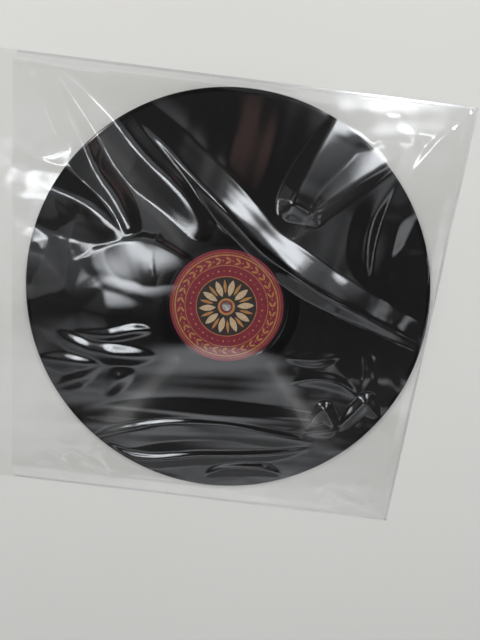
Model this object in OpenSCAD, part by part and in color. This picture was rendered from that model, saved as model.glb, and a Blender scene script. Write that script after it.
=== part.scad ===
// A 30 cm shellac record with its two paper labels, lying in a clear film sleeve.
// Z is the spindle axis and z = 0 is the disc's lower face. The front label faces up.
// The sleeve's mouth is at -X, its closed end at +X.

/* [Disc] */
// Outside diameter of the disc
disc_d = 300; // [240:1:320]
// Thickness of the disc
disc_t = 2.4; // [1.8:0.1:4]
// How far the rounded rim stands out past the edge of the flat faces
rim_bulge = 0.6; // [0.2:0.1:0.8]
// Diameter of the spindle hole, through the disc and both labels
hole_d = 7.24; // [6:0.02:9]

/* [Groove] */
// Plain margin between the edge of the disc and the first turn of the groove
margin_w = 3; // [2:0.5:8]
// Width of the groove
groove_w = 0.8; // [0.4:0.1:1]
// Depth of the groove
groove_depth = 0.15; // [0.05:0.01:0.3]
// Step inward per turn of the playing groove, about, drawn coarser than the real one
groove_pitch = 3; // [2:0.1:6]
// Step inward over the one turn of the lead-out
lead_out_w = 6; // [4:0.1:7]
// Width of the ring beside the label that the playing groove leaves free
dead_ring_w = 12; // [11:0.5:20]
// Land between the label and the near side of the closed stop groove
stop_gap = 2; // [1:0.5:3]

/* [Labels] */
// Diameter of a paper label
label_d = 84.6; // [60:0.2:100]
// Thickness of the label paper
label_t = 0.2; // [0.1:0.05:0.4]
// Play all round a label in its recess
label_clear = 0.1; // [0.05:0.05:0.3]
// Play under a label in its recess
label_bed = 0.02; // [0.01:0.01:0.1]

/* [Sleeve] */
// Thickness of the film
film_t = 0.1; // [0.05:0.01:0.3]
// Play between the film and the disc
film_gap = 0.3; // [0.2:0.05:1]
// Width of the welded edges
weld_w = 2; // [1:0.5:4]
// Distance from the disc's edge to the outside of the closed end
end_margin = 3; // [2.6:0.1:20]
// Distance from the disc's edge to the outside of the upper weld
top_margin = 6; // [4:0.5:30]
// Distance from the disc's edge to the outside of the lower weld
bottom_margin = 15; // [4:0.5:30]
// Distance from the disc's edge to the front film's edge at the mouth
mouth_margin = 8; // [2:0.5:40]
// How far the back film stands out past the front film at the mouth
lip_w = 14; // [2:0.5:40]
// How high the largest fold of the front film stands above its flat parts
fold_h = 5; // [1:0.5:8]
// How far a fold reaches to each side of its crest
fold_reach = 15; // [13:0.5:30]

/* [Hidden] */
$fn = 96;

shellac = [0.07, 0.06, 0.06];
burgundy = [0.42, 0.09, 0.17];
clear_film = [0.86, 0.89, 0.92, 0.3];

// How far a cutter passes the face that it cuts
past = 0.5;

// Side of the folded front film's cells, about
film_cell = 13;

disc_r = disc_d / 2;
hole_r = hole_d / 2;
label_r = label_d / 2;

// Rim section: an arc over the full thickness that stands out by rim_bulge
rim_r = (pow(rim_bulge, 2) + pow(disc_t / 2, 2)) / (2 * rim_bulge);
rim_centre = disc_r - rim_r;

// The groove is one line made of half turns. Those on the +Y side share the centre
// of the disc. Those on the -Y side have theirs half a step towards -X, so that each
// half turn starts where the last one ends, with no break and no kink. A whole number
// of turns, as near to groove_pitch as can be, fills the band up to the dead ring.
// Whole hundredths of a millimetre are written without rounding, so the ends meet.
function snap(length) = round(length * 100) / 100;
half_w = snap(groove_w / 2);
first_r = snap(disc_r - margin_w);
band_w = first_r - label_r - dead_ring_w;
turns = round(band_w / groove_pitch);
half_step = snap(band_w / turns / 2);
far_radii = [for (i = [turns : -1 : 0]) first_r - 2 * i * half_step];
near_radii = [for (i = [turns - 1 : -1 : 0]) first_r - (2 * i + 1) * half_step];
play_end_r = far_radii[0];
lead_out_half = snap(lead_out_w / 2);
lead_out_r = play_end_r - lead_out_half;

// The closed stop groove is an off-centre circle that the lead-out runs into
stop_far = lead_out_r - lead_out_half - half_w;
stop_near = label_r + stop_gap;
stop_r = (stop_far + stop_near) / 2;
stop_x = (stop_far - stop_near) / 2;

// Heights of the two films
back_top = -film_gap;
front_under = disc_t + film_gap;

// The flat front film spans the way that the disc slides along
flat_r = disc_r + film_gap;

// Outside edges of the sleeve
end_x = disc_r + end_margin;
top_y = disc_r + top_margin;
bottom_y = -disc_r - bottom_margin;
mouth_x = -disc_r - mouth_margin;
lip_x = mouth_x - lip_w;

// Main folds of the front film. Each has its height as a share of fold_h, and the
// points of its crest as shares of the flat film's half width, so it stays on the film.
folds = [
    // The long fold from the upper left to the right edge
    [1, [[-0.55, 0.88], [-0.27, 0.7], [-0.05, 0.52], [0.17, 0.35], [0.29, 0.25], [0.48, 0.18], [0.75, 0.09], [1, 0]]],
    // A fan of folds towards the upper right corner
    [0.5, [[0.32, 0.65], [0.33, 0.97]]],
    [0.6, [[0.42, 0.62], [0.75, 0.88]]],
    [0.5, [[0.5, 0.56], [0.93, 0.64]]],
    // The leaf at the right
    [0.5, [[0.7, 0.68], [0.65, 0.35], [0.75, 0.15]]],
    // Folds from the upper left corner and the left edge, which meet left of the label
    [0.5, [[-0.74, 0.93], [-0.43, 0.63], [-0.11, 0.37]]],
    [0.6, [[-0.86, 0.93], [-0.61, 0.53], [-0.5, 0.31]]],
    [0.5, [[-1, 0.53], [-0.68, 0.39], [-0.39, 0.3]]],
    // Bands across the lower part
    [0.5, [[-0.5, -0.4], [0.32, -0.44], [0.67, -0.39]]],
    [0.6, [[-0.69, -0.8], [-0.45, -0.69], [-0.03, -0.61]]],
    [0.5, [[-0.47, -0.83], [-0.23, -0.88], [0.2, -0.81]]],
    [0.5, [[0.5, -0.5], [0.76, -0.51]]]];

function clamp(share) = max(0, min(1, share));

// Distance in plan from a point to a stretch of a crest, and to a whole crest
function off_stretch(p, a, b) = norm(p - a - clamp((p - a) * (b - a) / ((b - a) * (b - a))) * (b - a));
function off_crest(p, crest) =
    min([for (i = [1 : len(crest) - 1]) off_stretch(p, flat_r * crest[i - 1], flat_r * crest[i])]);

// How high the folds lift the film at a point. They die out at the three seams.
function inward(p) = min(flat_r - p.x, flat_r - abs(p.y));
function lift(p) = clamp(inward(p) / fold_reach)
    * max([for (f = folds) fold_h * f[0] * clamp(1 - off_crest(p, f[1]) / fold_reach)]);

// Section of the rim: the flat body and the arc of the edge
module disc_section() {
    square([rim_centre, disc_t]);
    intersection() {
        translate([rim_centre, disc_t / 2]) circle(rim_r);
        translate([rim_centre - rim_r, 0]) square([2 * rim_r, disc_t]);
    }
}

// Rings of the groove's width at these radii
module rings(radii) {
    for (r = radii)
        difference() {
            circle(r + half_w);
            circle(r - half_w);
        }
}

// The half of the rings that lies at +Y, about a centre on X
module half_rings(radii, centre_x) {
    translate([centre_x, 0])
        intersection() {
            rings(radii);
            translate([-disc_d, 0]) square([2 * disc_d, disc_d]);
        }
}

// Plan of the groove of one side: playing groove, lead-out and stop groove
module groove_plan() {
    half_rings(far_radii, 0);
    rotate(180) half_rings(near_radii, half_step);
    rotate(180) half_rings([lead_out_r], lead_out_half);
    translate([stop_x, 0]) rings([stop_r]);
}

// The groove of one side, cut down from z = 0
module groove() {
    translate([0, 0, -groove_depth]) linear_extrude(groove_depth + past) groove_plan();
}

// Seat of one label, cut down from z = 0
module label_seat() {
    depth = label_t + label_bed;
    translate([0, 0, -depth]) cylinder(r = label_r + label_clear, h = depth + past);
}

// What one playing side takes out of the disc
module side_cuts() {
    groove();
    label_seat();
}

module disc() {
    color(shellac)
        difference() {
            rotate_extrude() disc_section();
            translate([0, 0, disc_t]) side_cuts();
            rotate([180, 0, 0]) side_cuts();
            translate([0, 0, -past]) cylinder(r = hole_r, h = disc_t + 2 * past);
        }
}

// A paper ring that stands on z = 0
module label() {
    color(burgundy)
        difference() {
            cylinder(r = label_r, h = label_t);
            translate([0, 0, -past]) cylinder(r = hole_r, h = label_t + 2 * past);
        }
}

module front_label() {
    translate([0, 0, disc_t - label_t]) label();
}

module back_label() {
    label();
}

// A sheet of film_t over a grid of points: its under side, its upper side and its edges
module front_film() {
    nx = round((flat_r - mouth_x) / film_cell);
    ny = round(2 * flat_r / film_cell);
    row = nx + 1;
    plan = [for (j = [0 : ny], i = [0 : nx])
        [mouth_x + (flat_r - mouth_x) * i / nx, flat_r * (2 * j / ny - 1)]];
    under = [for (p = plan) [p.x, p.y, front_under + lift(p)]];
    upper = [for (p = under) p + [0, 0, film_t]];
    above = len(plan);
    cells = [for (j = [0 : ny - 1], i = [0 : nx - 1]) j * row + i];
    rim = concat(
        [for (i = [0 : nx - 1]) i],
        [for (j = [0 : ny - 1]) j * row + nx],
        [for (i = [nx : -1 : 1]) ny * row + i],
        [for (j = [ny : -1 : 1]) j * row]);
    color(clear_film)
        polyhedron(concat(under, upper), concat(
            [for (c = cells) each [[c, c + 1, c + row + 1], [c, c + row + 1, c + row]]],
            [for (c = cells) each [[above + c, above + c + row + 1, above + c + 1],
                                   [above + c, above + c + row, above + c + row + 1]]],
            [for (k = [0 : len(rim) - 1]) let (a = rim[k], b = rim[(k + 1) % len(rim)])
                each [[a, above + a, b], [b, above + a, above + b]]]));
}

module back_film() {
    color(clear_film)
        translate([lip_x, bottom_y, back_top - film_t])
            cube([end_x - lip_x, top_y - bottom_y, film_t]);
}

// Section of a seam: the film falls from the flat front to the weld on the back film.
// reach is the distance from the spindle axis to the outside of the weld.
module seam_section(reach) {
    foot = reach - weld_w;
    polygon([
        [flat_r, front_under],
        [flat_r, front_under + film_t],
        [flat_r + film_t, front_under + film_t],
        [foot + film_t, back_top + film_t],
        [reach, back_top + film_t],
        [reach, back_top],
        [foot, back_top]]);
}

// A seam that runs along X over the whole sleeve, on the +Y side
module seam_along_x(reach) {
    rotate([90, 0, 90])
        translate([0, 0, mouth_x])
            linear_extrude(end_x - mouth_x) seam_section(reach);
}

// The mitre of a side seam and the end seam: out from the flat film's corner,
// over the foot of the slope, to the corner of the sleeve
function mitre(reach) = [
    [flat_r, flat_r],
    [end_x - weld_w, reach - weld_w],
    [end_x, reach]];

// Plan of a side seam on the +Y side, from the mouth to the mitre
module side_seam(reach) {
    color(clear_film)
        intersection() {
            seam_along_x(reach);
            translate([0, 0, back_top - past])
                linear_extrude(front_under - back_top + 2 * past)
                    polygon(concat([[mouth_x, flat_r]], mitre(reach), [[mouth_x, reach]]));
        }
}

module top_seam() {
    side_seam(top_y);
}

module bottom_seam() {
    mirror([0, 1, 0]) side_seam(-bottom_y);
}

module end_seam() {
    lower = [for (p = mitre(-bottom_y)) [p.x, -p.y]];
    upper = mitre(top_y);
    color(clear_film)
        intersection() {
            rotate([90, 0, 0])
                translate([0, 0, -top_y])
                    linear_extrude(top_y - bottom_y) seam_section(end_x);
            translate([0, 0, back_top - past])
                linear_extrude(front_under - back_top + 2 * past)
                    polygon([lower[2], lower[1], lower[0], upper[0], upper[1], upper[2]]);
        }
}

disc();
front_label();
back_label();
front_film();
back_film();
top_seam();
bottom_seam();
end_seam();
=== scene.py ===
"""A 30 cm shellac record in a loose clear film sleeve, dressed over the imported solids."""
import math
import random

import bpy
import numpy as np
from mathutils import Matrix, Vector
from mathutils.geometry import delaunay_2d_cdt


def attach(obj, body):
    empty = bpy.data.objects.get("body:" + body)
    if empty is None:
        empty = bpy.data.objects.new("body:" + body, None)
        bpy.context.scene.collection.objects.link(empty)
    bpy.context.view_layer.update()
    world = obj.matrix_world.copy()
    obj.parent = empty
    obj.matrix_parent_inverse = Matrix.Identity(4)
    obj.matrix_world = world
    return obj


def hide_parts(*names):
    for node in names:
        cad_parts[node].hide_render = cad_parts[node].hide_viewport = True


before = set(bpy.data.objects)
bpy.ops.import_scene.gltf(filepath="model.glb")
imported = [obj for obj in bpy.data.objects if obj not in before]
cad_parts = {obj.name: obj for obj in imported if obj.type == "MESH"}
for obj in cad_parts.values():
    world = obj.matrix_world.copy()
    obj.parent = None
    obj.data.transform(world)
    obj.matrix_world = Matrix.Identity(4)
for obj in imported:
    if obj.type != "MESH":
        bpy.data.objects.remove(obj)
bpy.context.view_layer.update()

MM = 0.001
TURN = 2 * math.pi

# Sizes in millimetres, as in the part's source
HOLE_R = 3.62
SEAT_R = 42.4
SEAT_DEPTH = 0.22
DISC_R = 150.0
DISC_T = 2.4
RIM_BULGE = 0.6
FIRST_GROOVE_R = 147.0
LAST_GROOVE_R = 54.3
STOP_R = 46.1
STOP_X = 1.8
FLAT_R = 150.3
MOUTH_X = -158.0
LIP_X = -172.0
END_X = 153.0
TOP_Y = 156.0
BOTTOM_Y = -165.0
WELD_W = 2.0

# Height of the back film's middle, and the lowest level of the front film over the disc
BACK_Z = -0.35
FRONT_LOW = 2.65


# Materials

# Finish of the groove: the wave of its walls along the radius, and their steepest lean
FINE_PITCH = 0.75
GROOVE_LEAN = 0.85

# Share of gloss on the film: seen straight on, what a grazing view adds, and how late it comes
GLOSS_FACING = 0.085
GLOSS_GRAZING = 0.85
GRAZING_POWER = 5.0

FILM_CLEAR = (0.968, 0.968, 0.966, 1)
FILM_MILKY = (0.9, 0.93, 0.96, 1)
FILM_GLOSS = (0.95, 0.97, 1.0, 1)


def nodes_of(name):
    """A new material with an empty node tree and its output."""
    material = bpy.data.materials.new(name)
    material.use_nodes = True
    tree = material.node_tree
    tree.nodes.clear()
    output = tree.nodes.new("ShaderNodeOutputMaterial")
    return material, tree, output


def feed(tree, node, values):
    """Give a node's inputs, in order, plain values or the outputs of other nodes."""
    for socket, value in zip(node.inputs, values):
        if isinstance(value, (int, float, tuple)):
            socket.default_value = value
        else:
            tree.links.new(value, socket)


def math_node(tree, operation, *values):
    node = tree.nodes.new("ShaderNodeMath")
    node.operation = operation
    feed(tree, node, values)
    return node.outputs[0]


def vector_node(tree, operation, *values):
    node = tree.nodes.new("ShaderNodeVectorMath")
    node.operation = operation
    feed(tree, node, values)
    return node.outputs["Value" if operation == "LENGTH" else "Vector"]


def noise_node(tree, scale, detail, roughness):
    coords = tree.nodes.new("ShaderNodeTexCoord")
    noise = tree.nodes.new("ShaderNodeTexNoise")
    noise.inputs["Scale"].default_value = scale
    noise.inputs["Detail"].default_value = detail
    noise.inputs["Roughness"].default_value = roughness
    tree.links.new(coords.outputs["Object"], noise.inputs["Vector"])
    return noise.outputs[0]


def ramp_node(tree, factor, *stops):
    """A ramp between two stops, each a place along the factor and a colour."""
    ramp = tree.nodes.new("ShaderNodeValToRGB")
    for element, (place, colour) in zip(ramp.color_ramp.elements, stops):
        element.position = place
        element.color = (*colour, 1)
    tree.links.new(factor, ramp.inputs[0])
    return ramp.outputs[0]


def bump_node(tree, height, strength, distance):
    bump = tree.nodes.new("ShaderNodeBump")
    bump.inputs["Strength"].default_value = strength
    bump.inputs["Distance"].default_value = distance
    tree.links.new(height, bump.inputs["Height"])
    return bump.outputs[0]


def mottled(name, colour, noise, dark, light, **finish):
    """A material whose colour wanders along a noise, given by its scale, detail and roughness,
    between two stops of a ramp. The finish names other sockets of the shader."""
    material, tree, output = nodes_of(name)
    shader = tree.nodes.new("ShaderNodeBsdfPrincipled")
    shader.inputs["Base Color"].default_value = (*colour, 1)
    for key, value in finish.items():
        shader.inputs[key.replace("_", " ")].default_value = value
    tree.links.new(shader.outputs[0], output.inputs[0])
    wander = ramp_node(tree, noise_node(tree, *noise), dark, light)
    tree.links.new(wander, shader.inputs["Base Color"])
    return material, tree, shader


def film_material(name, haze, roughness):
    """Clear film: it lets light straight through, with the gloss of its faces and a little haze."""
    material, tree, output = nodes_of(name)
    weight = tree.nodes.new("ShaderNodeLayerWeight")
    weight.inputs["Blend"].default_value = 0.5
    edge = math_node(tree, "POWER", weight.outputs["Facing"], GRAZING_POWER)
    share = math_node(tree, "MULTIPLY", edge, GLOSS_GRAZING)
    gloss_share = math_node(tree, "ADD", share, GLOSS_FACING)
    clear = tree.nodes.new("ShaderNodeBsdfTransparent")
    clear.inputs["Color"].default_value = FILM_CLEAR
    milky = tree.nodes.new("ShaderNodeBsdfDiffuse")
    milky.inputs["Color"].default_value = FILM_MILKY
    body = tree.nodes.new("ShaderNodeMixShader")
    body.inputs[0].default_value = haze
    tree.links.new(clear.outputs[0], body.inputs[1])
    tree.links.new(milky.outputs[0], body.inputs[2])
    gloss = tree.nodes.new("ShaderNodeBsdfGlossy")
    gloss.inputs["Color"].default_value = FILM_GLOSS
    gloss.inputs["Roughness"].default_value = roughness
    # The gloss casts no shadow
    path = tree.nodes.new("ShaderNodeLightPath")
    seen = math_node(tree, "SUBTRACT", 1.0, path.outputs["Is Shadow Ray"])
    mix = tree.nodes.new("ShaderNodeMixShader")
    tree.links.new(math_node(tree, "MULTIPLY", gloss_share, seen), mix.inputs[0])
    tree.links.new(body.outputs[0], mix.inputs[1])
    tree.links.new(gloss.outputs[0], mix.inputs[2])
    tree.links.new(mix.outputs[0], output.inputs[0])
    return material


def groove_normal(tree):
    """The lean of the groove's walls, in and out along the radius, which draws glints into rays."""
    coords = tree.nodes.new("ShaderNodeTexCoord")
    flat = vector_node(tree, "MULTIPLY", coords.outputs["Object"], (1, 1, 0))
    radius = vector_node(tree, "LENGTH", flat)
    wave = math_node(tree, "SINE", math_node(tree, "MULTIPLY", radius, TURN / (FINE_PITCH * MM)))
    beyond = math_node(tree, "GREATER_THAN", radius, LAST_GROOVE_R * MM)
    within = math_node(tree, "LESS_THAN", radius, FIRST_GROOVE_R * MM)
    band = math_node(tree, "MULTIPLY", beyond, within)
    lean = math_node(tree, "MULTIPLY", math_node(tree, "MULTIPLY", wave, GROOVE_LEAN), band)
    tilt = tree.nodes.new("ShaderNodeVectorMath")
    tilt.operation = "SCALE"
    tree.links.new(vector_node(tree, "NORMALIZE", flat), tilt.inputs[0])
    tree.links.new(lean, tilt.inputs["Scale"])
    face = tree.nodes.new("ShaderNodeNewGeometry")
    tilted = vector_node(tree, "ADD", face.outputs["Normal"], tilt.outputs[0])
    return vector_node(tree, "NORMALIZE", tilted)


def shellac_material():
    """Near black pressed shellac with filler specks and fine grooves."""
    material, tree, shader = mottled(
        "shellac", (0.003, 0.0026, 0.0026), (900.0, 4.0, 0.6),
        (0.35, (0.0014, 0.0011, 0.0011)), (0.7, (0.0045, 0.0037, 0.0037)),
        Roughness=0.16, Specular_IOR_Level=0.16)
    tree.links.new(groove_normal(tree), shader.inputs["Normal"])
    return material


def paper_material():
    """Burgundy paper with a soft mottle and fine fibres."""
    material, tree, shader = mottled(
        "label_paper", (0.18, 0.01, 0.028), (160.0, 4.0, 0.6),
        (0.3, (0.15, 0.006, 0.017)), (0.7, (0.21, 0.01, 0.028)), Roughness=0.55)
    fibre = noise_node(tree, scale=2500.0, detail=3.0, roughness=0.7)
    bump = bump_node(tree, fibre, strength=0.15, distance=0.0001)
    tree.links.new(bump, shader.inputs["Normal"])
    return material


def ink_material(name, dark, light, roughness):
    """Printed ink that has worn a little unevenly."""
    wear = (420.0, 4.0, 0.65)
    return mottled(name, light, wear, (0.3, dark), (0.65, light), Roughness=roughness)[0]


FILM = film_material("clear_film", haze=0.002, roughness=0.05)
WELD = film_material("clear_film_weld", haze=0.12, roughness=0.15)
SHELLAC = shellac_material()
PAPER = paper_material()
GOLD = ink_material("gold_ink", (0.3, 0.13, 0.035), (0.46, 0.23, 0.07), roughness=0.4)
BLACK = ink_material("black_ink", (0.012, 0.009, 0.009), (0.02, 0.015, 0.014), roughness=0.5)
CREAM = ink_material("cream_ink", (0.42, 0.3, 0.18), (0.58, 0.44, 0.28), roughness=0.55)


# Meshes


def mesh_object(name, verts, faces, materials, indices=None, smooth=True):
    """An object from vertices in millimetres."""
    mesh = bpy.data.meshes.new(name)
    mesh.from_pydata([tuple(c * MM for c in v) for v in verts], [], faces)
    for material in materials:
        mesh.materials.append(material)
    if indices is not None:
        mesh.polygons.foreach_set("material_index", indices)
    mesh.polygons.foreach_set("use_smooth", [smooth] * len(mesh.polygons))
    mesh.update()
    obj = bpy.data.objects.new(name, mesh)
    bpy.context.scene.collection.objects.link(obj)
    return obj


def grid_faces(rows, columns):
    """The quads of a grid of points."""
    corner = np.arange(rows * columns).reshape(rows, columns)
    quads = [corner[:-1, :-1], corner[:-1, 1:], corner[1:, 1:], corner[1:, :-1]]
    return np.stack(quads, -1).reshape(-1, 4).tolist()


# The disc: a lathed body with both sides' groove bands, stop grooves and label seats

# Turns of the groove, drawn as rings, their depth, and the half width and depth of the stop groove
FINE_TURNS = 62
FINE_DEPTH = 0.03
STOP_HALF_W = 0.6
STOP_DEPTH = 0.12
# Flat pieces from the rim's upper edge to its middle, and round the disc
RIM_STEPS = 6
DISC_STEPS = 256


def disc_profile():
    """Points outward along the top: the radius, the height above the middle plane, and the share
    of the stop groove's offset."""
    half = DISC_T / 2
    seat = half - SEAT_DEPTH
    points = [(HOLE_R, seat, 0), (SEAT_R, seat, 0), (SEAT_R, half, 0)]
    points.append((STOP_R - STOP_HALF_W, half, 1))
    points.append((STOP_R, half - STOP_DEPTH, 1))
    points.append((STOP_R + STOP_HALF_W, half, 1))
    pitch = (FIRST_GROOVE_R - LAST_GROOVE_R) / FINE_TURNS
    for i in range(FINE_TURNS):
        r = LAST_GROOVE_R + i * pitch
        points += [(r, half, 0), (r + pitch / 2, half - FINE_DEPTH, 0)]
    points.append((FIRST_GROOVE_R, half, 0))
    arc_r = (RIM_BULGE ** 2 + half ** 2) / (2 * RIM_BULGE)
    centre = DISC_R - arc_r
    start = math.asin(half / arc_r)
    for i in range(RIM_STEPS):
        a = start * (1 - i / RIM_STEPS)
        points.append((centre + arc_r * math.cos(a), arc_r * math.sin(a), 0))
    points.append((DISC_R, 0, 0))
    return points


def make_disc():
    upper = disc_profile()
    lower = [(r, -z, s) for r, z, s in reversed(upper[:-1])]
    loop = upper + lower
    verts = []
    for k in range(DISC_STEPS):
        a = TURN * k / DISC_STEPS
        for r, z, share in loop:
            radius = r + share * STOP_X * math.cos(a)
            verts.append((radius * math.cos(a), radius * math.sin(a), DISC_T / 2 + z))
    count = len(loop)
    faces = []
    for k in range(DISC_STEPS):
        a, b = k * count, (k + 1) % DISC_STEPS * count
        for i in range(count):
            j = (i + 1) % count
            faces.append((a + i, b + i, b + j, a + j))
    obj = mesh_object("record_disc", verts, faces, [SHELLAC])
    obj.data.flip_normals()
    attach(obj, "record")
    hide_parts("disc")


make_disc()


# The labels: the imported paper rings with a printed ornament

# Places of the inks in a print's list of materials, and how far each stands above the paper
GOLD_INK, BLACK_INK, CREAM_INK = 0, 1, 2
INK_LIFT = {GOLD_INK: 0.03, BLACK_INK: 0.015, CREAM_INK: 0.03}

# Numbers of leaf chevrons in the border, of the flower's petals, and of the beads between them
LEAVES = 30
PETALS = 10
BEADS = 40
# Power of a sine that gives a leaf its outline: the lower, the fuller
LEAF_POWER = 0.8


class Print:
    """Flat ink shapes on one side of the record, which faces up with 1 and down with -1."""

    def __init__(self, height, facing, turn):
        self.height = height
        self.facing = facing
        self.turn = math.radians(turn)
        self.verts, self.faces, self.indices = [], [], []

    def bearing(self, angle):
        """The direction on the record, in radians, of an angle on the print, in degrees."""
        return self.facing * (math.radians(angle) + self.turn)

    def add(self, points, faces, ink):
        base = len(self.verts)
        z = self.height + self.facing * INK_LIFT[ink]
        self.verts += [(x, y, z) for x, y in points]
        self.faces += [tuple(base + i for i in f) for f in faces]
        self.indices += [ink] * len(faces)

    def ring(self, inner, outer, ink, steps=128):
        points, faces = [], []
        for k in range(steps):
            a = TURN * k / steps + self.turn
            points += [(r * math.cos(a), r * math.sin(a)) for r in (inner, outer)]
            n = (k + 1) % steps
            corners = (2 * k, 2 * k + 1, 2 * n + 1, 2 * n)
            # Taken the other way round on the lower side, so that the face looks outward
            faces.append(corners[::self.facing])
        self.add(points, faces, ink)

    def leaf(self, radius, angle, length, width, lean, ink, steps=8):
        """A pointed leaf at a radius, leaning off the radius by an angle."""
        a = self.bearing(angle)
        d = self.bearing(angle + lean)
        cx, cy = radius * math.cos(a), radius * math.sin(a)
        outline = []
        for side in (1, -1):
            for i in range(steps):
                t = i / steps
                along = (t - 0.5) * length * side
                across = width / 2 * math.sin(math.pi * t) ** LEAF_POWER * side * self.facing
                outline.append((
                    cx + along * math.cos(d) - across * math.sin(d),
                    cy + along * math.sin(d) + across * math.cos(d)))
        # The outline runs clockwise, so its points are taken from the last to the first
        self.add(outline, [tuple(reversed(range(len(outline))))], ink)

    def dot(self, radius, angle, size, ink, steps=12):
        a = self.bearing(angle)
        cx, cy = radius * math.cos(a), radius * math.sin(a)
        ways = [self.bearing(360 * k / steps) for k in range(steps)]
        points = [(cx + size * math.cos(w), cy + size * math.sin(w)) for w in ways]
        self.add(points, [tuple(range(steps))], ink)


def make_print(name, height, facing, turn):
    """Rings, a border of leaf chevrons with dots, a row of beads, and a flower round the hole."""
    art = Print(height, facing, turn)
    art.ring(inner=37.7, outer=38.7, ink=GOLD_INK)
    art.ring(inner=39.8, outer=40.1, ink=GOLD_INK)
    art.ring(inner=30.6, outer=31.1, ink=GOLD_INK)
    for k in range(LEAVES):
        a = 360 * k / LEAVES
        art.leaf(radius=35.6, angle=a, length=5.0, width=1.5, lean=62, ink=GOLD_INK)
        art.leaf(radius=33.0, angle=a, length=5.0, width=1.5, lean=118, ink=GOLD_INK)
        art.dot(radius=34.3, angle=a + 180 / LEAVES, size=0.55, ink=GOLD_INK)
    art.ring(inner=4.7, outer=22.0, ink=BLACK_INK)
    art.ring(inner=22.3, outer=22.8, ink=GOLD_INK)
    for k in range(PETALS):
        a = 360 * k / PETALS
        art.leaf(radius=14.2, angle=a, length=12.5, width=4.6, lean=0, ink=CREAM_INK)
        art.leaf(radius=15.2, angle=a + 180 / PETALS, length=10.5, width=2.2, lean=0, ink=GOLD_INK)
    art.ring(inner=4.7, outer=6.4, ink=GOLD_INK)
    for k in range(BEADS):
        art.dot(radius=26.7, angle=360 * k / BEADS, size=0.7 if k % 2 else 0.4, ink=GOLD_INK)
    inks = [GOLD, BLACK, CREAM]
    obj = mesh_object(name, art.verts, art.faces, inks, art.indices, smooth=False)
    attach(obj, "record")


for node in ("front_label", "back_label"):
    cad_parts[node].data.materials.clear()
    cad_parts[node].data.materials.append(PAPER)
make_print("front_print", height=DISC_T, facing=1, turn=10)
make_print("back_print", height=0.0, facing=-1, turn=40)


# The front film: a sheet that lies on the disc in folds and falls to the welds

# Distance between the sheet's points
STEP = 0.9
COLUMNS = int((END_X - MOUTH_X) / STEP) + 1
ROWS = int((TOP_Y - BOTTOM_Y) / STEP) + 1
X, Y = np.meshgrid(np.linspace(MOUTH_X, END_X, COLUMNS), np.linspace(BOTTOM_Y, TOP_Y, ROWS))

# Length of the straight pieces that a curved crest is drawn with
CREST_STEP = 7
# Size of the lattice that drawn-out noise is taken from, and the point of it at the spindle axis
LATTICE = (90, 170)
LATTICE_MIDDLE = (40, 80)
# How far a facet's corner strays from its place, as a share of the spacing
STRAY = 0.45


def blur(field, sigma):
    """Gaussian blur, sigma in millimetres."""
    reach = max(1, int(3 * sigma / STEP))
    offsets = np.arange(-reach, reach + 1) * STEP
    kernel = np.exp(-0.5 * (offsets / sigma) ** 2)
    kernel /= kernel.sum()
    for axis in (0, 1):
        margins = [(reach, reach) if a == axis else (0, 0) for a in (0, 1)]
        padded = np.pad(field, margins, mode="edge")
        field = np.apply_along_axis(np.convolve, axis, padded, kernel, mode="valid")
    return field


def ripples(seed, count, lengths, height):
    """Slow waves of the whole sheet."""
    rng = random.Random(seed)
    field = np.zeros_like(X)
    for _ in range(count):
        a = rng.uniform(0, TURN)
        wave = TURN / rng.uniform(*lengths)
        field += np.sin((X * math.cos(a) + Y * math.sin(a)) * wave + rng.uniform(0, TURN))
    return field * height / math.sqrt(count)


def curve(a, b, c, d, t):
    """The value at a share t of the way from b to c, on a smooth curve through four values."""
    square = 2 * a - 5 * b + 4 * c - d
    cube = 3 * b - a - 3 * c + d
    return 0.5 * (2 * b + (c - a) * t + square * t * t + cube * t ** 3)


def smooth_line(points, heights):
    """A line through points as a smooth curve, each with its height as third value."""
    knots = [(x, y, h) for (x, y), h in zip(points, heights)]
    knots = [knots[0], *knots, knots[-1]]
    line = []
    for p0, p1, p2, p3 in zip(knots, knots[1:], knots[2:], knots[3:]):
        pieces = max(1, round(math.dist(p1[:2], p2[:2]) / CREST_STEP))
        for i in range(pieces):
            line.append(tuple(curve(*values, i / pieces) for values in zip(p0, p1, p2, p3)))
    return line + [knots[-1]]


def fold(points, heights, section, rounding):
    """A fold along a line: its height at each point, its section as offsets, with those left of
    the line positive, and shares of that height, and the blur that rounds it."""
    offsets, shares = zip(*section)
    line = smooth_line(points, heights)
    nearest = np.full_like(X, np.inf)
    roof = np.zeros_like(X)
    for (ax, ay, ah), (bx, by, bh) in zip(line, line[1:]):
        dx, dy = bx - ax, by - ay
        t = np.clip(((X - ax) * dx + (Y - ay) * dy) / (dx * dx + dy * dy), 0, 1)
        away_x, away_y = X - ax - t * dx, Y - ay - t * dy
        away = np.hypot(away_x, away_y)
        side = np.where(dx * away_y - dy * away_x > 0, 1, -1)
        part = (ah + (bh - ah) * t) * np.interp(side * away, offsets, shares)
        closer = away < nearest
        roof = np.where(closer, part, roof)
        nearest = np.where(closer, away, nearest)
    return blur(roof, rounding)


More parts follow.
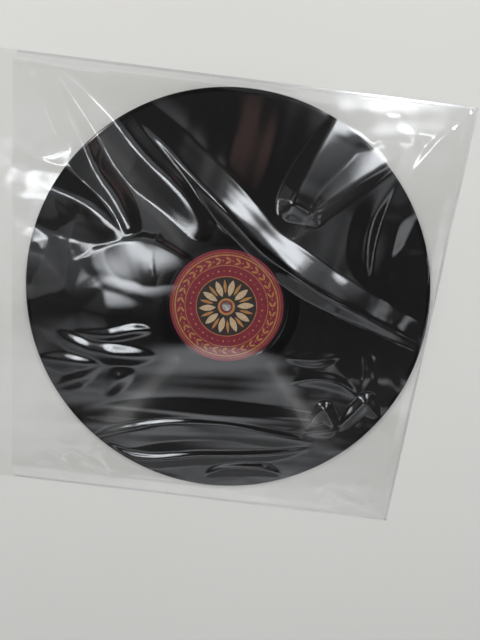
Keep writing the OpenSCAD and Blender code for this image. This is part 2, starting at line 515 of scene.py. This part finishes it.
def silk(seed, angle, along, across):
    """Long wrinkles in one direction: smooth noise drawn out along it, from about -1 to 1."""
    a = math.radians(angle)
    u = (X * math.cos(a) + Y * math.sin(a)) / along + LATTICE_MIDDLE[0]
    v = (Y * math.cos(a) - X * math.sin(a)) / across + LATTICE_MIDDLE[1]
    lattice = np.random.default_rng(seed).uniform(-1, 1, LATTICE)
    iu, iv = np.floor(u).astype(int), np.floor(v).astype(int)
    fu, fv = u - iu, v - iv
    fu, fv = fu * fu * (3 - 2 * fu), fv * fv * (3 - 2 * fv)
    low = lattice[iu, iv] * (1 - fu) + lattice[iu + 1, iv] * fu
    high = lattice[iu, iv + 1] * (1 - fu) + lattice[iu + 1, iv + 1] * fu
    return low * (1 - fv) + high * fv


def facets(seed, spacing):
    """Flat facets between scattered points of random height, from about -1 to 1."""
    rng = random.Random(seed)
    points = []
    x = MOUTH_X - spacing
    while x < END_X + 2 * spacing:
        y = BOTTOM_Y - spacing
        while y < TOP_Y + 2 * spacing:
            near_x = x + rng.uniform(-STRAY, STRAY) * spacing
            near_y = y + rng.uniform(-STRAY, STRAY) * spacing
            points.append(Vector((near_x, near_y)))
            y += spacing
        x += spacing
    heights = [rng.uniform(-1, 1) for _ in points]
    corners, _, triangles, *_ = delaunay_2d_cdt(points, [], [], 0, 1e-6)
    tiny = 1e-9
    field = np.zeros_like(X)
    for i, j, k in triangles:
        (ax, ay), (bx, by), (cx, cy) = corners[i], corners[j], corners[k]
        c0 = max(0, int((min(ax, bx, cx) - MOUTH_X) / STEP))
        c1 = int((max(ax, bx, cx) - MOUTH_X) / STEP) + 2
        r0 = max(0, int((min(ay, by, cy) - BOTTOM_Y) / STEP))
        r1 = int((max(ay, by, cy) - BOTTOM_Y) / STEP) + 2
        px, py = X[r0:r1, c0:c1], Y[r0:r1, c0:c1]
        if px.size == 0:
            continue
        area = (bx - ax) * (cy - ay) - (cx - ax) * (by - ay)
        w1 = ((px - ax) * (cy - ay) - (cx - ax) * (py - ay)) / area
        w2 = ((bx - ax) * (py - ay) - (px - ax) * (by - ay)) / area
        inside = (w1 >= -tiny) & (w2 >= -tiny) & (w1 + w2 <= 1 + tiny)
        level = heights[i] * (1 - w1 - w2) + heights[j] * w1 + heights[k] * w2
        field[r0:r1, c0:c1] = np.where(inside, level, field[r0:r1, c0:c1])
    return field


def zone(x, y, wide, high, angle=0.0):
    """1 in the middle of an oval zone, falling softly to 0 outside it."""
    a = math.radians(angle)
    u = ((X - x) * math.cos(a) + (Y - y) * math.sin(a)) / wide
    v = ((Y - y) * math.cos(a) - (X - x) * math.sin(a)) / high
    return np.exp(-(u * u + v * v) ** 2)


# The folds, each with the points of its crest, its height at each of them, its section and its
# rounding, as fold() takes them
FOLDS = [
    # The long fold from the upper left to the right edge
    ([(-82, 135), (-50, 114), (-33, 99), (-8, 79), (8, 66),
      (25, 52), (48, 38), (68, 28), (100, 16), (150, -2)],
     [2.5, 3.2, 4, 5.2, 4.8, 4.2, 5.6, 4.8, 3.6, 2.4],
     [(-22, 0), (-8, 1), (9, 0.35), (15, 0)], 1.7),
    # From the upper left corner to the middle
    ([(-135, 156), (-111, 140), (-88, 121), (-73, 105), (-60, 94), (-40, 80), (-24, 60)],
     [3.4, 4.6, 4.6, 4.4, 4.2, 3.8, 2.4],
     [(-32, 0), (0, 1), (22, 0)], 2.6),
    # The vee at the left
    ([(-129, 140), (-108, 101), (-99, 84), (-86, 70), (-78, 58), (-75, 50), (-79, 42)],
     [3.4, 4, 3.8, 3.4, 3, 2.6, 1.6],
     [(-24, 0), (0, 1), (18, 0)], 2.6),
    ([(-154, 80), (-131, 71), (-115, 66), (-101, 60), (-81, 47)],
     [4.5, 4.5, 4.2, 3.6, 2],
     [(-42, 0), (0, 1), (20, 0)], 3.2),
    ([(-158, 84), (-132, 92), (-108, 102)], [2, 2.4, 2.8],
     [(-20, 0), (0, 1), (22, 0)], 3),
    # Facets left of the label
    ([(-100, 30), (-72, 42), (-57, 43), (-28, 31)], [1.6, 2, 2.1, 1.6],
     [(-60, 0.4), (0, 1), (9, 0)], 1.2),
    ([(-57, 43), (-58, 28), (-55, 12)], [2.2, 1.95, 1.6],
     [(-6, 0), (0, 1), (16, 0)], 0.9),
    # Leaf at the left
    ([(-126, -34), (-113, -41), (-96, -46), (-80, -47), (-62, -46), (-44, -43)],
     [1.4, 2.2, 2.3, 2.3, 2, 1.2],
     [(-20, 0), (0, 1), (20, 0)], 2.2),
    ([(-125, -33), (-97, -34), (-80, -31), (-65, -26), (-47, -24)],
     [1.2, 1.9, 2, 2, 1.2],
     [(-14, 0), (0, 1), (16, 0)], 1.8),
    # Facets at the lower left
    ([(-140, -56), (-112, -56), (-88, -54)], [1.4, 2.2, 1.4],
     [(-30, 0), (0, 1), (16, 0)], 1.6),
    ([(-88, -55), (-108, -70), (-126, -80)], [1.4, 2, 1.3],
     [(-22, 0), (0, 1), (22, 0)], 1.6),
    ([(-84, -80), (-76, -66), (-64, -59)], [1.4, 2.2, 1.4],
     [(-22, 0), (0, 1), (26, 0)], 1.6),
    # Band across the lower part
    ([(-104, -98), (-40, -90), (20, -86), (90, -80)], [1.6, 2.6, 2.6, 1.4],
     [(-26, 0), (0, 1), (26, 0)], 4.5),
    # Lens at the bottom
    ([(-92, -118), (-66, -107), (-44, -99), (-19, -94), (15, -92), (50, -96), (84, -99)],
     [1.8, 3, 3, 2.8, 2.5, 2.2, 1.3],
     [(-30, 0), (0, 1), (10, 0)], 1.2),
    ([(-82, -121), (-66, -130), (-47, -131), (-27, -127),
      (-9, -123), (20, -119), (52, -113), (84, -103)],
     [1.7, 2.4, 2.4, 2.4, 2.3, 2.2, 2, 1.3],
     [(-18, 0), (0, 1), (10.3, 0)], 1.2),
    ([(-2, -141), (12, -132), (43, -128), (60, -132)], [1.4, 2.2, 2.2, 1.4],
     [(-14, 0), (0, 1), (14, 0)], 1.4),
    # Fan of folds from the dimple to the upper right
    ([(34, 66), (37, 80), (42, 96), (51, 119), (62, 146)], [1.2, 4.8, 4, 2.8, 1.4],
     [(-34, 0), (-22, 0.6), (0, 1), (15, 0)], 1.4),
    ([(42, 66), (54, 77), (72, 92), (100, 114)], [1.2, 4, 3.4, 2],
     [(-15, 0), (0, 1), (20, 0.4), (30, 0)], 1.4),
    # Leaf at the right
    ([(106, 104), (98, 87), (94, 74), (93, 57), (96, 39), (103, 20)],
     [1.5, 2.2, 2.6, 2.6, 2, 1],
     [(-26, 0), (0, 1), (14, 0)], 2),
    # Right of the label
    ([(46, -33), (70, -31), (94, -25)], [1.3, 2.2, 1.3],
     [(-16, 0), (0, 1), (11, 0)], 1.6),
    ([(52, -54), (74, -46), (94, -48), (112, -60)], [1.3, 2.1, 2.1, 1.3],
     [(-18, 0), (0, 1), (10, 0)], 1.5),
    ([(104, -16), (116, -34), (112, -56)], [1.3, 2.4, 1.3],
     [(-16, 0), (0, 1), (12, 0)], 1.6),
    # Peaks at the lower right
    ([(56, -97), (79, -90), (95, -87), (98, -89)], [0.8, 1.8, 2.2, 1],
     [(-16, 0), (0, 1), (12, 0)], 1.6),
    ([(85, -70), (98, -89)], [4.4, 1.4], [(-9, 0), (0, 1), (9, 0)], 1.3),
    ([(85, -70), (78, -84)], [4.4, 1.4], [(-9, 0), (0, 1), (9, 0)], 1.3),
    ([(115, -60), (98, -88)], [4.8, 1.4], [(-10.5, 0), (0, 1), (10.5, 0)], 1.4),
    ([(115, -60), (127, -73)], [4.8, 1.4], [(-10.5, 0), (0, 1), (10.5, 0)], 1.4),
    # Corners of the sleeve
    ([(148, 150), (128, 128), (112, 100)], [1, 2.6, 1], [(-9, 0), (0, 1), (9, 0)], 1.3),
    ([(66, 147), (84, 151), (106, 144)], [0.8, 1.6, 0.8], [(-6, 0), (0, 1), (8, 0)], 1.3),
    ([(-118, -128), (-96, -140), (-70, -152)], [1, 2.4, 1], [(-9, 0), (0, 1), (11, 0)], 1.3),
    ([(-148, -128), (-120, -140), (-102, -156)], [0.8, 2, 0.8], [(-9, 0), (0, 1), (9, 0)], 1.3),
    ([(88, -138), (112, -147), (142, -156)], [1, 2.6, 0.8], [(-9, 0), (0, 1), (11, 0)], 1.3),
]

# Long wrinkles: their zone, their height, and the seed, direction, length and width of silk()
WRINKLES = [
    ((0, -95, 175, 80), 1.0, (11, 5, 110, 25)),
    ((-70, 90, 90, 75, -40), 0.3, (21, -40, 110, 18)),
    ((115, -10, 55, 110), 0.6, (31, 80, 70, 16)),
    ((20, 50, 120, 26, -37), 0.06, (41, -37, 90, 5)),
    ((0, -95, 175, 80), 0.09, (12, 4, 120, 7)),
    ((-5, 118, 50, 45), 0.14, (51, 80, 80, 9)),
]

# Crumpled zones of the sheet, with how much of the facets each has or takes away
CRUMPLED = [
    ((-125, -5, 62, 120), 1),
    ((115, -10, 55, 110), 0.9),
    ((0, -150, 170, 26), 0.5),
    ((-62, 28, 48, 26), -1),
]
LARGE_FACETS = 0.45
SMALL_FACETS = 0.1

# Crumpled corners of the sleeve
CORNERS = [(-95, -146, 42, 20), (110, 142, 48, 20), (118, -150, 36, 16)]
CORNER_FACETS = 0.7

# How far the loose film stands above its base where no fold lifts it
SLACK = 1.3
# Level of the film's base over the disc
BASE_Z = 3.8
# Gap between the two films at the welds
WELD_GAP = 0.06
# Distance from the welds over which the folds die out
WELD_REACH = 8
# How softly the film comes to lie on what is under it, and the most that its exponent may be
SOFTNESS = 0.3
EXPONENT_LIMIT = 30


def film_height():
    """Height of the front film at each of its points."""
    # The base is level over the way that the disc slides along and falls to the welds
    past_edge = np.where(X <= 0, np.abs(Y), np.hypot(X, Y)) - FLAT_R
    beside = np.clip(past_edge, 0, None)
    to_weld = np.minimum.reduce([
        TOP_Y - WELD_W - Y, Y - BOTTOM_Y - WELD_W, END_X - WELD_W - X])
    to_weld = np.clip(to_weld, 0, None)
    full = to_weld / np.maximum(to_weld + beside, 1e-6)
    base = BACK_Z + WELD_GAP + (BASE_Z - BACK_Z) * full
    # Folds, wrinkles, crumples and slow waves stand on it
    folds = np.full_like(X, SLACK)
    for line in FOLDS:
        folds = np.maximum(folds, fold(*line))
    relief = blur(folds, sigma=0.9)
    for place, height, thread in WRINKLES:
        relief += zone(*place) * (height * silk(*thread))
    crumpled = np.clip(sum(share * zone(*place) for place, share in CRUMPLED), 0, 1)
    large, small = facets(seed=5, spacing=24), facets(seed=6, spacing=11)
    relief += crumpled * blur(LARGE_FACETS * large + SMALL_FACETS * small, sigma=1.0)
    corners = sum(zone(*place) for place in CORNERS)
    relief += corners * blur(CORNER_FACETS * facets(seed=7, spacing=10), sigma=0.9)
    relief += ripples(seed=3, count=7, lengths=(110, 220), height=0.35)
    free = np.clip(to_weld / WELD_REACH, 0, 1)
    height = blur(base, sigma=1.5) + relief * free
    # The film lies on the disc, and beside it on the back film
    over_disc = beside <= 0.01
    lowest = np.where(over_disc, FRONT_LOW, BACK_Z + WELD_GAP)
    above = np.clip((height - lowest) / SOFTNESS, -EXPONENT_LIMIT, EXPONENT_LIMIT)
    return lowest + SOFTNESS * np.log1p(np.exp(above))


def make_front():
    verts = np.stack([X, Y, film_height()], -1).reshape(-1, 3).tolist()
    obj = mesh_object("sleeve_front", verts, grid_faces(ROWS, COLUMNS), [FILM])
    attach(obj, "sleeve")
    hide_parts("front_film", "top_seam", "bottom_seam", "end_seam")


# The back film: a flat sheet with slight ripples

BACK_COLUMNS = 216
BACK_ROWS = 214
# Middle height and size of the ripples, and how far from the edges they reach it
RIPPLE_MIDDLE = 0.12
RIPPLE_SIZE = 0.05
RIPPLE_EDGE = 10


def swaying(along, across, length, sway, sway_length):
    """A wave along one way of the sheet that sways across it."""
    return np.sin(along / length + sway * np.sin(across / sway_length))


def make_back():
    xs = np.linspace(LIP_X, END_X, BACK_COLUMNS)
    ys = np.linspace(BOTTOM_Y, TOP_Y, BACK_ROWS)
    gx, gy = np.meshgrid(xs, ys)
    edge = np.minimum.reduce([TOP_Y - gy, gy - BOTTOM_Y, END_X - gx, gx - LIP_X])
    free = np.clip(edge / RIPPLE_EDGE, 0, 1)
    wave = swaying(gx, gy, length=4.1, sway=1.7, sway_length=23)
    wave += swaying(gy, gx, length=3.3, sway=2.1, sway_length=31)
    gz = BACK_Z + free * (RIPPLE_MIDDLE + RIPPLE_SIZE * wave)
    verts = np.stack([gx, gy, gz], -1).reshape(-1, 3).tolist()
    obj = mesh_object("sleeve_back", verts, grid_faces(BACK_ROWS, BACK_COLUMNS), [FILM])
    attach(obj, "sleeve")
    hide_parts("back_film")


make_front()
make_back()


# The welds: ribbed strips along the three closed edges

RIB_STEP = 0.8
RIB_H = 0.05
# Height of a strip between its ribs, width of its sloped edges, and its foot above the back film
STRIP_H = 0.16
STRIP_EDGE = 0.1
STRIP_FOOT = 0.05


def make_weld(name, start, end, inward):
    sx, sy = start
    ex, ey = end
    count = int(math.hypot(ex - sx, ey - sy) / RIB_STEP)
    across = [(0.0, 0.0), (STRIP_EDGE, STRIP_H), (WELD_W - STRIP_EDGE, STRIP_H), (WELD_W, 0.0)]
    verts = []
    for i in range(count + 1):
        t = i / count
        rib = RIB_H if i % 2 else 0.0
        for offset, lift in across:
            x = sx + (ex - sx) * t + inward[0] * offset
            y = sy + (ey - sy) * t + inward[1] * offset
            verts.append((x, y, BACK_Z + STRIP_FOOT + (lift + rib if lift else 0.0)))
    obj = mesh_object(name, verts, grid_faces(count + 1, len(across)), [WELD], smooth=False)
    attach(obj, "sleeve")


make_weld("weld_top", (MOUTH_X, TOP_Y), (END_X, TOP_Y), (0, -1))
make_weld("weld_bottom", (MOUTH_X, BOTTOM_Y), (END_X, BOTTOM_Y), (0, 1))
make_weld("weld_end", (END_X, BOTTOM_Y), (END_X, TOP_Y), (-1, 0))


# Floor, light and camera

FLOOR_HALF = 12000.0
FLOOR_Z = -0.45

# Studio lamps: name, direction from the record, size in metres and radiance. The last two are
# small and draw glints along the groove's walls.
LAMP_DISTANCE = 1.3
LAMPS = [
    ("lamp_top", (0.1, 0.8, 0.6), (1.6, 0.9), 0.2),
    ("lamp_side", (-0.82, 0.1, 0.58), (0.8, 1.4), 0.2),
    ("lamp_low", (0.1, -0.83, 0.56), (1.6, 0.8), 0.3),
    ("lamp_right", (0.517, 0.529, 0.673), (0.08, 0.08), 250.0),
    ("lamp_left", (-0.633, 0.473, 0.613), (0.08, 0.08), 250.0),
]

# Soft lights in the ceiling: the sideways place and half size of each, as parts of a direction,
# the share of it that is even, and its radiance
LIGHTS = [
    ((-0.215, -0.145), (0.105, 0.058), 0.3, 7.0),
    ((-0.49, 0.045), (0.06, 0.035), 0.3, 1.0),
    ((-0.42, 0.0), (0.06, 0.035), 0.3, 8.0),
    ((-0.345, -0.05), (0.07, 0.045), 0.3, 8.0),
    ((-0.275, -0.095), (0.07, 0.045), 0.3, 8.0),
    ((-0.3, -0.02), (0.3, 0.25), 0.1, 0.5),
    ((-0.18, 0.1), (0.13, 0.12), 0.1, 0.5),
    ((0.25, 0.28), (0.13, 0.10), 0.2, 8.0),
    ((0.27, 0.27), (0.35, 0.25), 0.1, 0.9),
    ((0.45, 0.0), (0.06, 0.12), 0.2, 1.4),
    ((-0.36, -0.4), (0.2, 0.15), 0.1, 0.6),
    ((-0.05, -0.40), (0.35, 0.1), 0.1, 1.3),
    ((0.2, -0.3), (0.09, 0.035), 0.1, 1.2),
    ((0.2, -0.04), (0.1, 0.09), 0.1, 0.35),
    ((0.36, -0.33), (0.1, 0.06), 0.1, 1.0),
    ((0.12, -0.55), (0.3, 0.1), 0.1, 0.8),
    ((-0.12, -0.62), (0.15, 0.06), 0.1, 0.8),
]
# Dark stretches of the ceiling, with how much light each takes away
SHADES = [
    ((0.0, 0.12), (0.2, 0.2), 0.4, 0.9),
    ((0.32, -0.2), (0.25, 0.15), 0.3, 0.6),
    ((0.0, -0.26), (0.5, 0.07), 0.3, 0.7),
    ((0.0, -0.18), (0.14, 0.12), 0.4, 0.7),
]
# A faint warm patch, as of a wooden ceiling
WARM = ((-0.03, 0.16), (0.05, 0.13), 0.2)

CEILING = (0.034, 0.034, 0.036)
COOL_WHITE = (0.97, 0.985, 1.0)
SHADE_COLOUR = (0.012, 0.009, 0.009)
WARM_COLOUR = (0.3, 0.17, 0.15)
WALLS = (0.95, 0.95, 0.96)
# How high a direction rises where the walls start to fade, and where only the ceiling is left
WALL_TOP = 0.35
CEILING_EDGE = 0.6

# The camera's lens and sensor, its place and what it looks at, in millimetres, and its upward way
LENS = 25.31
SENSOR = 36.0
CAMERA_PLACE = (8.83, 68.53, 329.78)
CAMERA_TARGET = (11.23, -8.74, 2.4)
CAMERA_UP = (-0.121, 0.9659, -0.2288)


def make_floor():
    material, _, _ = mottled(
        "floor_pale", (0.72, 0.715, 0.69), (3.0, 2.0, 0.5),
        (0.2, (0.71, 0.705, 0.68)), (0.8, (0.735, 0.73, 0.705)), Roughness=0.9)
    corners = [(-1, -1), (1, -1), (1, 1), (-1, 1)]
    verts = [(x * FLOOR_HALF, y * FLOOR_HALF, FLOOR_Z) for x, y in corners]
    obj = mesh_object("floor", verts, [(0, 1, 2, 3)], [material])


def softbox(name, direction, size, radiance):
    """A studio lamp in a direction from the record, facing it."""
    data = bpy.data.lights.new(name, "AREA")
    data.shape = "RECTANGLE"
    data.size, data.size_y = size
    data.energy = radiance * math.pi * size[0] * size[1]
    obj = bpy.data.objects.new(name, data)
    bpy.context.scene.collection.objects.link(obj)
    way = Vector(direction).normalized()
    obj.location = way * LAMP_DISTANCE
    obj.rotation_euler = way.to_track_quat("Z", "Y").to_euler()
    obj.visible_camera = False


def ceiling_patch(tree, way, place, size, even):
    """1 in the even middle of an oval patch of the ceiling, falling softly to 0 at its edge."""
    offset = vector_node(tree, "SUBTRACT", way, (*place, 0))
    shape = vector_node(tree, "MULTIPLY", offset, (1 / size[0], 1 / size[1], 0))
    fall = tree.nodes.new("ShaderNodeMapRange")
    fall.interpolation_type = "SMOOTHSTEP"
    fall.inputs["From Min"].default_value = 1
    fall.inputs["From Max"].default_value = even
    tree.links.new(vector_node(tree, "LENGTH", shape), fall.inputs["Value"])
    return fall.outputs["Result"]


def mix_colour(tree, blend, factor, first, second):
    mix = tree.nodes.new("ShaderNodeMix")
    mix.data_type = "RGBA"
    mix.blend_type = blend
    mix.clamp_factor = True
    tree.links.new(factor, mix.inputs[0])
    # Inputs 6 and 7 and output 2 are those for colours
    for socket, colour in ((mix.inputs[6], first), (mix.inputs[7], second)):
        if isinstance(colour, tuple):
            socket.default_value = (*colour, 1)
        else:
            tree.links.new(colour, socket)
    return mix.outputs[2]


def make_world():
    """A plain room: pale walls, and a dim ceiling with soft lights and dark stretches."""
    world = bpy.data.worlds.new("studio")
    bpy.context.scene.world = world
    world.use_nodes = True
    tree = world.node_tree
    way = tree.nodes.new("ShaderNodeTexCoord").outputs["Generated"]
    level = CEILING
    for place, size, even, radiance in LIGHTS:
        colour = tuple(radiance * c for c in COOL_WHITE)
        level = mix_colour(tree, "ADD", ceiling_patch(tree, way, place, size, even), level, colour)
    for place, size, even, share in SHADES:
        factor = math_node(tree, "MULTIPLY", ceiling_patch(tree, way, place, size, even), share)
        level = mix_colour(tree, "MIX", factor, level, SHADE_COLOUR)
    level = mix_colour(tree, "ADD", ceiling_patch(tree, way, *WARM), level, WARM_COLOUR)
    split = tree.nodes.new("ShaderNodeSeparateXYZ")
    tree.links.new(way, split.inputs[0])
    low = ramp_node(tree, split.outputs["Z"], (WALL_TOP, (1, 1, 1)), (CEILING_EDGE, (0, 0, 0)))
    room = mix_colour(tree, "MIX", low, level, WALLS)
    tree.links.new(room, tree.nodes["Background"].inputs[0])


def make_camera():
    data = bpy.data.cameras.new("photo_camera")
    data.sensor_width = SENSOR
    data.lens = LENS
    data.clip_start = 0.01
    obj = bpy.data.objects.new("photo_camera", data)
    bpy.context.scene.collection.objects.link(obj)
    place = Vector(CAMERA_PLACE) * MM
    target = Vector(CAMERA_TARGET) * MM
    back_way = (place - target).normalized()
    right = Vector(CAMERA_UP).cross(back_way).normalized()
    up = back_way.cross(right)
    turn = Matrix((right, up, back_way)).transposed().to_4x4()
    obj.matrix_world = Matrix.Translation(place) @ turn
    bpy.context.scene.camera = obj


make_floor()
make_world()
for lamp in LAMPS:
    softbox(*lamp)
make_camera()
bpy.context.scene.view_settings.view_transform = "Standard"
